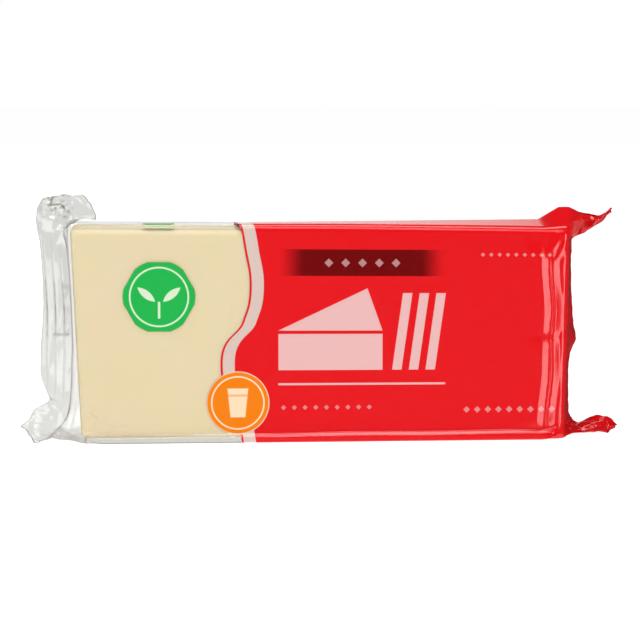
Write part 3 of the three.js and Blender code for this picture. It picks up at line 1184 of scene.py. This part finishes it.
def crimp_tree(window, printed):
    """A Geometry Nodes tree that ribs the seals and sets the two films."""
    tree = bpy.data.node_groups.new("crimp_ribs", "GeometryNodeTree")
    for name, kind in (
        ("Geometry", "NodeSocketGeometry"),
        ("Rib Pitch", "NodeSocketFloat"),
        ("Rib Height", "NodeSocketFloat"),
        ("Print Start", "NodeSocketFloat"),
    ):
        tree.interface.new_socket(name, in_out="INPUT", socket_type=kind)
    tree.interface.new_socket("Geometry", in_out="OUTPUT", socket_type="NodeSocketGeometry")
    source = node(tree, "NodeGroupInput").outputs
    into = node(tree, "GeometryNodeInputNamedAttribute", None, {"Name": "seal_mm"}).outputs[0]
    strength = node(tree, "GeometryNodeInputNamedAttribute", None, {"Name": "rib_strength"})
    back = node(
        tree,
        "GeometryNodeInputNamedAttribute",
        {"data_type": "FLOAT_VECTOR"},
        {"Name": "strip_back"},
    )
    metres = node(
        tree, "ShaderNodeMath", {"operation": "MULTIPLY_ADD"}, {0: into, 1: MM, 2: RIB_OFFSET}
    )
    turns = node(
        tree,
        "ShaderNodeMath",
        {"operation": "DIVIDE"},
        {0: metres.outputs[0], 1: source["Rib Pitch"]},
    )
    beside = node(
        tree, "ShaderNodeMath", {"operation": "PINGPONG"}, {0: turns.outputs[0], 1: 0.5}
    )
    wave = node(
        tree,
        "ShaderNodeMapRange",
        {"interpolation_type": "SMOOTHSTEP"},
        {0: beside.outputs[0], 1: 0.0, 2: GROOVE_SHARE, 3: 1.0, 4: 0.0},
    )
    groove = node(
        tree,
        "ShaderNodeMath",
        {"operation": "MULTIPLY"},
        {0: wave.outputs[0], 1: strength.outputs[0]},
    )
    height = node(
        tree,
        "ShaderNodeMath",
        {"operation": "MULTIPLY"},
        {0: groove.outputs[0], 1: source["Rib Height"]},
    )
    offset = node(
        tree,
        "ShaderNodeVectorMath",
        {"operation": "SCALE"},
        {0: back.outputs[0], "Scale": height.outputs[0]},
    )
    in_seal = node(
        tree,
        "FunctionNodeCompare",
        {"data_type": "FLOAT", "operation": "GREATER_THAN"},
        {0: into, 1: 0.0},
    )
    ribbed = node(
        tree,
        "GeometryNodeSetPosition",
        None,
        {
            "Geometry": source["Geometry"],
            "Selection": in_seal.outputs[0],
            "Offset": offset.outputs[0],
        },
    )
    # The groove depth is kept on the mesh so that the clear film can paint shade into the grooves.
    with_painted_shade = node(
        tree,
        "GeometryNodeStoreNamedAttribute",
        {"data_type": "FLOAT", "domain": "POINT"},
        {
            "Geometry": ribbed.outputs[0],
            "Selection": in_seal.outputs[0],
            "Name": "groove",
            "Value": groove.outputs[0],
        },
    )
    place = node(tree, "GeometryNodeInputPosition")
    along = node(tree, "ShaderNodeSeparateXYZ", None, {0: place.outputs[0]})
    all_print = node(
        tree,
        "FunctionNodeCompare",
        {"data_type": "FLOAT", "operation": "GREATER_THAN"},
        {0: along.outputs["X"], 1: source["Print Start"]},
    )
    real = node(tree, "GeometryNodeRealizeInstances", None, {0: with_painted_shade.outputs[0]})
    clear = node(
        tree, "GeometryNodeSetMaterial", None, {"Geometry": real.outputs[0], "Material": window}
    )
    done = node(
        tree,
        "GeometryNodeSetMaterial",
        None,
        {
            "Geometry": clear.outputs[0],
            "Selection": all_print.outputs[0],
            "Material": printed,
        },
    )
    node(tree, "NodeGroupOutput", None, {0: done.outputs[0]})
    return tree


crimp_ribs = crimp_tree(window, printed)
print("rib tree has", len(crimp_ribs.nodes), "nodes")

# %% [markdown]
# A node tree is run once and its result kept as a plain mesh, because the frame takes plain
# meshes. The two layers of film are then joined where they meet, so that the bag is closed,
# and every face is turned outwards.

# %% Bake and close the film
WELD_DISTANCE = 0.002


def baked(owner, tree, **sizes):
    """Runs a Geometry Nodes tree on an object and keeps the result as its plain mesh."""
    modifier = owner.modifiers.new("made_by_nodes", "NODES")
    modifier.node_group = tree
    for item in tree.interface.items_tree:
        if item.in_out == "INPUT" and item.name in sizes:
            modifier[item.identifier] = sizes[item.name]
    owner.update_tag()
    shown = owner.evaluated_get(bpy.context.evaluated_depsgraph_get())
    mesh = bpy.data.meshes.new_from_object(shown)
    owner.modifiers.remove(modifier)
    owner.data = mesh
    mesh.name = owner.name
    print(owner.name, "has", len(mesh.polygons), "faces")


def close_seams(owner):
    """Joins the two layers where they meet and turns every face outwards."""
    made = bmesh.new()
    made.from_mesh(owner.data)
    bmesh.ops.remove_doubles(made, verts=made.verts, dist=WELD_DISTANCE * MM)
    bmesh.ops.recalc_face_normals(made, faces=made.faces)
    for piece in made.faces:
        piece.smooth = True
    open_edges = sum(1 for edge in made.edges if len(edge.link_faces) != 2)
    made.to_mesh(owner.data)
    made.free()
    print(owner.name, "closed, edges left open:", open_edges)


baked(
    film_wrap,
    crimp_ribs,
    **{"Rib Pitch": RIB_PITCH, "Rib Height": RIB_HEIGHT, "Print Start": PRINT_START},
)
close_seams(film_wrap)

# %% [markdown]
# The bar is a cut block of young white cheddar. It could be a bevelled cube, but cheese is
# never quite flat, so Geometry Nodes make it: a cube with a fine grid is pulled onto a box
# with round edges, and every point then moves a little along its normal by soft noise. The
# film lies close on its broad sides and stands off it a little above and below.

# %% Cheddar bar
SIDE_CLEARANCE = 0.2
END_CLEARANCE = 0.25
TOP_CLEARANCE = 0.8
BOTTOM_CLEARANCE = 1.5
BAR_EDGE = 1.8
CURD_SIZE = 7.0
CURD_HEIGHT = 0.14
CURD_SEED = 4.0
BAR_GRID = {"Vertices X": 150, "Vertices Y": 26, "Vertices Z": 66}


def bar_tree(finish):
    """A Geometry Nodes tree for a box with round edges and an uneven surface."""
    tree = bpy.data.node_groups.new("cut_bar", "GeometryNodeTree")
    for name, kind in (
        ("Size", "NodeSocketVector"),
        ("Edge Radius", "NodeSocketFloat"),
        ("Curd Size", "NodeSocketFloat"),
        ("Curd Height", "NodeSocketFloat"),
        ("Seed", "NodeSocketFloat"),
    ):
        tree.interface.new_socket(name, in_out="INPUT", socket_type=kind)
    tree.interface.new_socket("Geometry", in_out="OUTPUT", socket_type="NodeSocketGeometry")
    source = node(tree, "NodeGroupInput").outputs
    cube = node(tree, "GeometryNodeMeshCube", None, {"Size": source["Size"], **BAR_GRID})
    place = node(tree, "GeometryNodeInputPosition").outputs[0]
    half = node(
        tree, "ShaderNodeVectorMath", {"operation": "SCALE"}, {0: source["Size"], "Scale": 0.5}
    )
    core = node(
        tree,
        "ShaderNodeVectorMath",
        {"operation": "SUBTRACT"},
        {0: half.outputs[0], 1: source["Edge Radius"]},
    ).outputs[0]
    low = node(tree, "ShaderNodeVectorMath", {"operation": "SCALE"}, {0: core, "Scale": -1.0})
    capped = node(tree, "ShaderNodeVectorMath", {"operation": "MINIMUM"}, {0: place, 1: core})
    held = node(
        tree,
        "ShaderNodeVectorMath",
        {"operation": "MAXIMUM"},
        {0: capped.outputs[0], 1: low.outputs[0]},
    ).outputs[0]
    past = node(tree, "ShaderNodeVectorMath", {"operation": "SUBTRACT"}, {0: place, 1: held})
    outward = node(
        tree, "ShaderNodeVectorMath", {"operation": "NORMALIZE"}, {0: past.outputs[0]}
    ).outputs[0]
    grain = node(
        tree, "ShaderNodeMath", {"operation": "DIVIDE"}, {0: 1.0, 1: source["Curd Size"]}
    )
    curd = node(
        tree,
        "ShaderNodeTexNoise",
        {"noise_dimensions": "4D"},
        {"Vector": place, "W": source["Seed"], "Scale": grain.outputs[0], "Detail": 3.0},
    )
    uneven = node(tree, "ShaderNodeMath", {"operation": "SUBTRACT"}, {0: curd.outputs[0], 1: 0.5})
    reach = node(
        tree,
        "ShaderNodeMath",
        {"operation": "MULTIPLY_ADD"},
        {0: uneven.outputs[0], 1: source["Curd Height"], 2: source["Edge Radius"]},
    )
    skin = node(
        tree,
        "ShaderNodeVectorMath",
        {"operation": "MULTIPLY_ADD"},
        {0: outward, 1: reach.outputs[0], 2: held},
    )
    shaped = node(
        tree,
        "GeometryNodeSetPosition",
        None,
        {"Geometry": cube.outputs["Mesh"], "Position": skin.outputs[0]},
    )
    real = node(tree, "GeometryNodeRealizeInstances", None, {0: shaped.outputs[0]})
    done = node(
        tree, "GeometryNodeSetMaterial", None, {"Geometry": real.outputs[0], "Material": finish}
    )
    node(tree, "NodeGroupOutput", None, {0: done.outputs[0]})
    return tree


print("room between bar and film, at the sides and above:", SIDE_CLEARANCE, TOP_CLEARANCE, "mm")

# %% [markdown]
# Young white cheddar is a close, waxy cheese. Light goes a little way in and comes out
# yellower, so the material has subsurface scattering. Under the film it looks damp and even,
# with faint clouds a centimetre across and a few hairline gaps where curds didn't knit.

# %% Cheddar material
CHEESE_YELLOW = "#F3E4B8"
CHEESE_CREAM = "#F5E3C3"
GAP_BROWN = "#C9B084"
CLOUD_SIZE = 14.0
GAP_SPACING = 11.0
GAP_WIDTH = 0.012
GAP_DEPTH = 0.3
WARP_SIZE = 2.5
WARP_REACH = 3.0
SCATTER_DEPTH = 3.0
SCATTER_SHARE = 0.4
SCATTER_COLOURS = (1.0, 0.7, 0.4)
GAP_CLOUDS = (0.6, 0.7)
DAMP_SPREAD = (0.3, 0.7)
DAMP_GLOSS = (0.38, 0.52)


def white_cheddar():
    """Young white cheddar: pale, waxy and slightly translucent."""
    made = bpy.data.materials.new("white_cheddar")
    made.use_nodes = True
    tree = made.node_tree
    tree.nodes.clear()
    place = node(tree, "ShaderNodeTexCoord").outputs["Object"]
    clouds = node(
        tree,
        "ShaderNodeTexNoise",
        None,
        {"Vector": place, "Scale": 1 / (CLOUD_SIZE * MM), "Detail": 3.0},
    )
    colour = node(
        tree,
        "ShaderNodeMix",
        {"data_type": "RGBA"},
        {0: clouds.outputs[0], 6: linear(CHEESE_YELLOW), 7: linear(CHEESE_CREAM)},
    )
    warp = node(
        tree,
        "ShaderNodeTexNoise",
        None,
        {"Vector": place, "Scale": 1 / (WARP_SIZE * MM), "Detail": 2.0},
    )
    shifted = node(
        tree,
        "ShaderNodeVectorMath",
        {"operation": "MULTIPLY_ADD"},
        {0: warp.outputs["Color"], 1: (WARP_REACH * MM,) * 3, 2: place},
    )
    curds = node(
        tree,
        "ShaderNodeTexVoronoi",
        {"feature": "DISTANCE_TO_EDGE"},
        {"Vector": shifted.outputs[0], "Scale": 1 / (GAP_SPACING * MM)},
    )
    hairline = node(
        tree,
        "ShaderNodeMapRange",
        None,
        {0: curds.outputs["Distance"], 1: 0.0, 2: GAP_WIDTH, 3: 1.0, 4: 0.0},
    )
    sparse = node(
        tree,
        "ShaderNodeMapRange",
        None,
        dict(enumerate([clouds.outputs[0], *GAP_CLOUDS, 0.0, 1.0])),
    )
    gaps = node(
        tree,
        "ShaderNodeMath",
        {"operation": "MULTIPLY"},
        {0: hairline.outputs[0], 1: sparse.outputs[0]},
    )
    faint = node(
        tree, "ShaderNodeMath", {"operation": "MULTIPLY"}, {0: gaps.outputs[0], 1: GAP_DEPTH}
    )
    marked = node(
        tree,
        "ShaderNodeMix",
        {"data_type": "RGBA"},
        {0: faint.outputs[0], 6: colour.outputs[2], 7: linear(GAP_BROWN)},
    )
    damp = node(
        tree,
        "ShaderNodeMapRange",
        None,
        dict(enumerate([warp.outputs[0], *DAMP_SPREAD, *DAMP_GLOSS])),
    )
    shade = node(
        tree,
        "ShaderNodeBsdfPrincipled",
        None,
        {
            "Base Color": marked.outputs[2],
            "Roughness": damp.outputs[0],
            "Subsurface Weight": SCATTER_SHARE,
            "Subsurface Radius": SCATTER_COLOURS,
            "Subsurface Scale": SCATTER_DEPTH * MM,
        },
    )
    node(tree, "ShaderNodeOutputMaterial", None, {"Surface": shade.outputs[0]})
    return made


cheddar = white_cheddar()
print("cheese material:", cheddar.name)

# %% [markdown]
# The bar is made square and then leant to fit the film: its ends slant in towards the
# underside and its right end is a little lower.

# %% Make the bar


def cut_out_of_square(mesh):
    """Leans the bar's ends and drops its right end, to fit the film."""
    inner_height = MEAN_HEIGHT - TOP_CLEARANCE - BOTTOM_CLEARANCE
    inner_length = BLOCK_LENGTH - 2 * END_CLEARANCE
    for corner in mesh.vertices:
        along = corner.co.x / (inner_length * MM) + 0.5
        up = corner.co.z / (inner_height * MM) + 0.5
        left = LEFT_END + LEFT_SLANT * (1 - up) + END_CLEARANCE
        right = RIGHT_END - RIGHT_SLANT * (1 - up) - END_CLEARANCE
        height = LEFT_HEIGHT + (RIGHT_HEIGHT - LEFT_HEIGHT) * along
        height = height - TOP_CLEARANCE - BOTTOM_CLEARANCE
        corner.co.x = (left + (right - left) * along) * MM
        corner.co.z = (BOTTOM_CLEARANCE + height * up) * MM


cheddar_bar = bpy.data.objects.new("cheddar_bar", bpy.data.meshes.new("cheddar_bar"))
bpy.context.scene.collection.objects.link(cheddar_bar)
bar_size = [
    (BLOCK_LENGTH - 2 * END_CLEARANCE) * MM,
    (BLOCK_THICKNESS - 2 * SIDE_CLEARANCE) * MM,
    (MEAN_HEIGHT - TOP_CLEARANCE - BOTTOM_CLEARANCE) * MM,
]
baked(
    cheddar_bar,
    bar_tree(cheddar),
    **{
        "Size": bar_size,
        "Edge Radius": BAR_EDGE * MM,
        "Curd Size": CURD_SIZE * MM,
        "Curd Height": CURD_HEIGHT * MM,
        "Seed": CURD_SEED,
    },
)
cut_out_of_square(cheddar_bar.data)
close_seams(cheddar_bar)

# %% [markdown]
# A flow-wrapped tube is closed along the back by a lengthwise seam: two film edges welded
# between ribbed wheels and folded down flat. The photograph hides it, so this is how such
# packs are made. A thin box with a fine grid is the strip, and Geometry Nodes raise the ribs
# on its outer side. The strip takes the film's own millimetres too, so it is printed and clear
# where the film beside it is.

# %% Back seam
SEAM_WIDTH = 12.0
SEAM_THICKNESS = 0.4
SEAM_STANDOFF = 0.28
SEAM_LEFT = -72.8
SEAM_RIGHT = 72.0
SEAM_RIB_PITCH = 1.5
SEAM_RIB_HEIGHT = 0.12
SEAM_GIRTH = 120.0
SEAM_GRID = {"Vertices X": 121, "Vertices Y": 2, "Vertices Z": 73}


def seam_tree(clear, ink):
    """A Geometry Nodes tree for a ribbed strip along the back."""
    tree = bpy.data.node_groups.new("ribbed_seam", "GeometryNodeTree")
    for name, kind in (
        ("Size", "NodeSocketVector"),
        ("Middle", "NodeSocketVector"),
        ("Rib Pitch", "NodeSocketFloat"),
        ("Rib Height", "NodeSocketFloat"),
        ("Print Start", "NodeSocketFloat"),
    ):
        tree.interface.new_socket(name, in_out="INPUT", socket_type=kind)
    tree.interface.new_socket("Geometry", in_out="OUTPUT", socket_type="NodeSocketGeometry")
    source = node(tree, "NodeGroupInput").outputs
    box = node(tree, "GeometryNodeMeshCube", None, {"Size": source["Size"], **SEAM_GRID})
    place = node(tree, "GeometryNodeInputPosition").outputs[0]
    spot = node(tree, "ShaderNodeSeparateXYZ", None, {0: place}).outputs
    turns = node(
        tree, "ShaderNodeMath", {"operation": "DIVIDE"}, {0: spot["Z"], 1: source["Rib Pitch"]}
    )
    angle = node(
        tree, "ShaderNodeMath", {"operation": "MULTIPLY"}, {0: turns.outputs[0], 1: math.tau}
    )
    wave = node(tree, "ShaderNodeMath", {"operation": "SINE"}, {0: angle.outputs[0]})
    lifted = node(
        tree,
        "ShaderNodeMath",
        {"operation": "MULTIPLY"},
        {0: wave.outputs[0], 1: source["Rib Height"]},
    )
    outer = node(
        tree,
        "FunctionNodeCompare",
        {"data_type": "FLOAT", "operation": "GREATER_THAN"},
        {0: spot["Y"], 1: 0.0},
    )
    offset = node(tree, "ShaderNodeCombineXYZ", None, {"Y": lifted.outputs[0]})
    ribbed = node(
        tree,
        "GeometryNodeSetPosition",
        None,
        {
            "Geometry": box.outputs["Mesh"],
            "Selection": outer.outputs[0],
            "Offset": offset.outputs[0],
        },
    )
    moved = node(
        tree,
        "GeometryNodeSetPosition",
        None,
        {"Geometry": ribbed.outputs[0], "Offset": source["Middle"]},
    )
    along = node(tree, "ShaderNodeMath", {"operation": "DIVIDE"}, {0: spot["X"], 1: MM})
    film = node(tree, "ShaderNodeCombineXYZ", None, {"X": along.outputs[0], "Y": SEAM_GIRTH})
    mapped = node(
        tree,
        "GeometryNodeStoreNamedAttribute",
        {"data_type": "FLOAT2", "domain": "CORNER"},
        {"Geometry": moved.outputs[0], "Name": PRINT_MAP, "Value": film.outputs[0]},
    )
    all_print = node(
        tree,
        "FunctionNodeCompare",
        {"data_type": "FLOAT", "operation": "GREATER_THAN"},
        {0: spot["X"], 1: source["Print Start"]},
    )
    real = node(tree, "GeometryNodeRealizeInstances", None, {0: mapped.outputs[0]})
    see = node(
        tree, "GeometryNodeSetMaterial", None, {"Geometry": real.outputs[0], "Material": clear}
    )
    done = node(
        tree,
        "GeometryNodeSetMaterial",
        None,
        {"Geometry": see.outputs[0], "Selection": all_print.outputs[0], "Material": ink},
    )
    node(tree, "NodeGroupOutput", None, {0: done.outputs[0]})
    return tree


ribbed_seam = seam_tree(window, printed)
print("seam tree has", len(ribbed_seam.nodes), "nodes")

# %% [markdown]
# The strip lies on the middle of the back, a hair's breadth off the film, and ends where the
# end seals begin.

# %% Make the back seam
back_seam = bpy.data.objects.new("back_seam", bpy.data.meshes.new("back_seam"))
bpy.context.scene.collection.objects.link(back_seam)
seam_middle = (
    (SEAM_LEFT + SEAM_RIGHT) / 2 * MM,
    (HALF_THICKNESS + SEAM_STANDOFF + SEAM_THICKNESS / 2) * MM,
    MEAN_HEIGHT / 2 * MM,
)
baked(
    back_seam,
    ribbed_seam,
    **{
        "Size": ((SEAM_RIGHT - SEAM_LEFT) * MM, SEAM_THICKNESS * MM, SEAM_WIDTH * MM),
        "Middle": seam_middle,
        "Rib Pitch": SEAM_RIB_PITCH * MM,
        "Rib Height": SEAM_RIB_HEIGHT * MM,
        "Print Start": PRINT_START,
    },
)
close_seams(back_seam)

# %% [markdown]
# The studio is a white paper floor in a plain room. The room is white where the camera looks
# straight at it, dim level with the pack and bright below, so that the flat front mirrors
# nothing bright and shows its own colour, while creases of clear film turn dark, as they do in
# front of a photographer's white card.

# %% Studio room
ROOM_DIM = 0.04
ROOM_BELOW = 1.0
ROOM_SLANTS = (-0.75, -0.3)


def studio_room():
    """The room's light: white to the eye, dim level with the pack, bright below."""
    made = bpy.data.worlds.new("studio_room")
    made.use_nodes = True
    tree = made.node_tree
    tree.nodes.clear()
    toward = node(tree, "ShaderNodeTexCoord").outputs["Generated"]
    aim = node(tree, "ShaderNodeSeparateXYZ", None, {0: toward}).outputs
    level = node(
        tree,
        "ShaderNodeMapRange",
        {"interpolation_type": "SMOOTHSTEP"},
        {0: aim["Z"], 1: ROOM_SLANTS[0], 2: ROOM_SLANTS[1], 3: ROOM_BELOW, 4: ROOM_DIM},
    )
    seen = node(tree, "ShaderNodeLightPath").outputs["Is Camera Ray"]
    strength = node(
        tree,
        "ShaderNodeMath",
        {"operation": "MAXIMUM"},
        {0: seen, 1: level.outputs[0]},
    )
    glow = node(
        tree,
        "ShaderNodeBackground",
        None,
        {"Color": (1, 1, 1, 1), "Strength": strength.outputs[0]},
    )
    node(tree, "ShaderNodeOutputWorld", None, {"Surface": glow.outputs[0]})
    return made


bpy.context.scene.world = studio_room()
print("room:", bpy.context.scene.world.name)

# %% [markdown]
# The floor is a sheet of white paper, far wider than the picture, that glows a little so that
# it prints as plain white. It is a stage piece and not part of the pack. Upright film would
# mirror it all over and look washed out, so it is left out of mirrored light.

# %% Paper floor
FLOOR_HALF = 4.0
PAPER_GREY = (0.35, 0.35, 0.35)
PAPER_GLOW = 0.97
PAPER_ROUGHNESS = 0.9


def white_paper():
    """Matt white paper, bright enough to print as plain white."""
    made = bpy.data.materials.new("white_paper")
    made.use_nodes = True
    shade = made.node_tree.nodes["Principled BSDF"]
    shade.inputs["Base Color"].default_value = (*PAPER_GREY, 1)
    shade.inputs["Roughness"].default_value = PAPER_ROUGHNESS
    shade.inputs["Emission Color"].default_value = (1, 1, 1, 1)
    shade.inputs["Emission Strength"].default_value = PAPER_GLOW
    return made


def paper_floor():
    """A flat sheet of white paper, far wider than the picture."""
    corners = [(x * FLOOR_HALF, y * FLOOR_HALF, 0) for x, y in ((-1, -1), (1, -1), (1, 1), (-1, 1))]
    mesh = bpy.data.meshes.new("paper_floor")
    mesh.from_pydata(corners, [], [(0, 1, 2, 3)])
    mesh.materials.append(white_paper())
    made = bpy.data.objects.new("paper_floor", mesh)
    made.visible_glossy = False
    bpy.context.scene.collection.objects.link(made)
    return made


paper_floor()
print("floor is", 2 * FLOOR_HALF, "metres wide")

# %% [markdown]
# Five soft rectangular lights stand round the pack. A high key light gives most of the light,
# two low strips are what the upright wrinkles and edges mirror as pale streaks, one above
# draws the pale line along the foot, and one behind keeps the back from going black. A light
# of 90 cm at 90 cm away gives shadows with no hard edge.

# %% Soft lights
LIGHT_AIM = (0.0, 0.0, 0.03)
# Each light: its middle and its size in metres, and its power in watts.
SOFT_LIGHTS = {
    "key_light": ((-0.15, -0.85, 0.85), (0.9, 0.5), 5.4),
    "left_strip": ((-0.62, -0.85, -0.12), (0.2, 0.66), 1.4),
    "right_strip": ((0.62, -0.85, -0.12), (0.26, 0.66), 2.9),
    "top_light": ((0.0, -0.05, 0.9), (0.9, 0.3), 5.5),
    "back_light": ((-0.35, 1.2, 0.35), (1.4, 0.6), 2.4),
}


def softbox(name, place, size, watts):
    """A soft rectangular light that faces the pack."""
    data = bpy.data.lights.new(name, "AREA")
    data.shape = "RECTANGLE"
    data.size, data.size_y = size
    data.energy = watts
    lamp = bpy.data.objects.new(name, data)
    lamp.location = place
    lamp.visible_camera = False
    aim = np.array(place) - np.array(LIGHT_AIM)
    lamp.rotation_euler = (
        math.atan2(math.hypot(aim[0], aim[1]), aim[2]),
        0,
        math.atan2(aim[0], -aim[1]),
    )
    bpy.context.scene.collection.objects.link(lamp)


for light_name, (light_place, light_size, light_watts) in SOFT_LIGHTS.items():
    softbox(light_name, light_place, light_size, light_watts)
bpy.context.scene.view_settings.view_transform = "Standard"
print("studio lights:", ", ".join(SOFT_LIGHTS))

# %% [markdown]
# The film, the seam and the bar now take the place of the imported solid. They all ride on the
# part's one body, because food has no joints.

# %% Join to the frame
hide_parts("wrapped_block")
for piece, slot in (
    (film_wrap, "printed_film"),
    (back_seam, "printed_film"),
    (cheddar_bar, "cheddar"),
):
    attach(piece, "root")
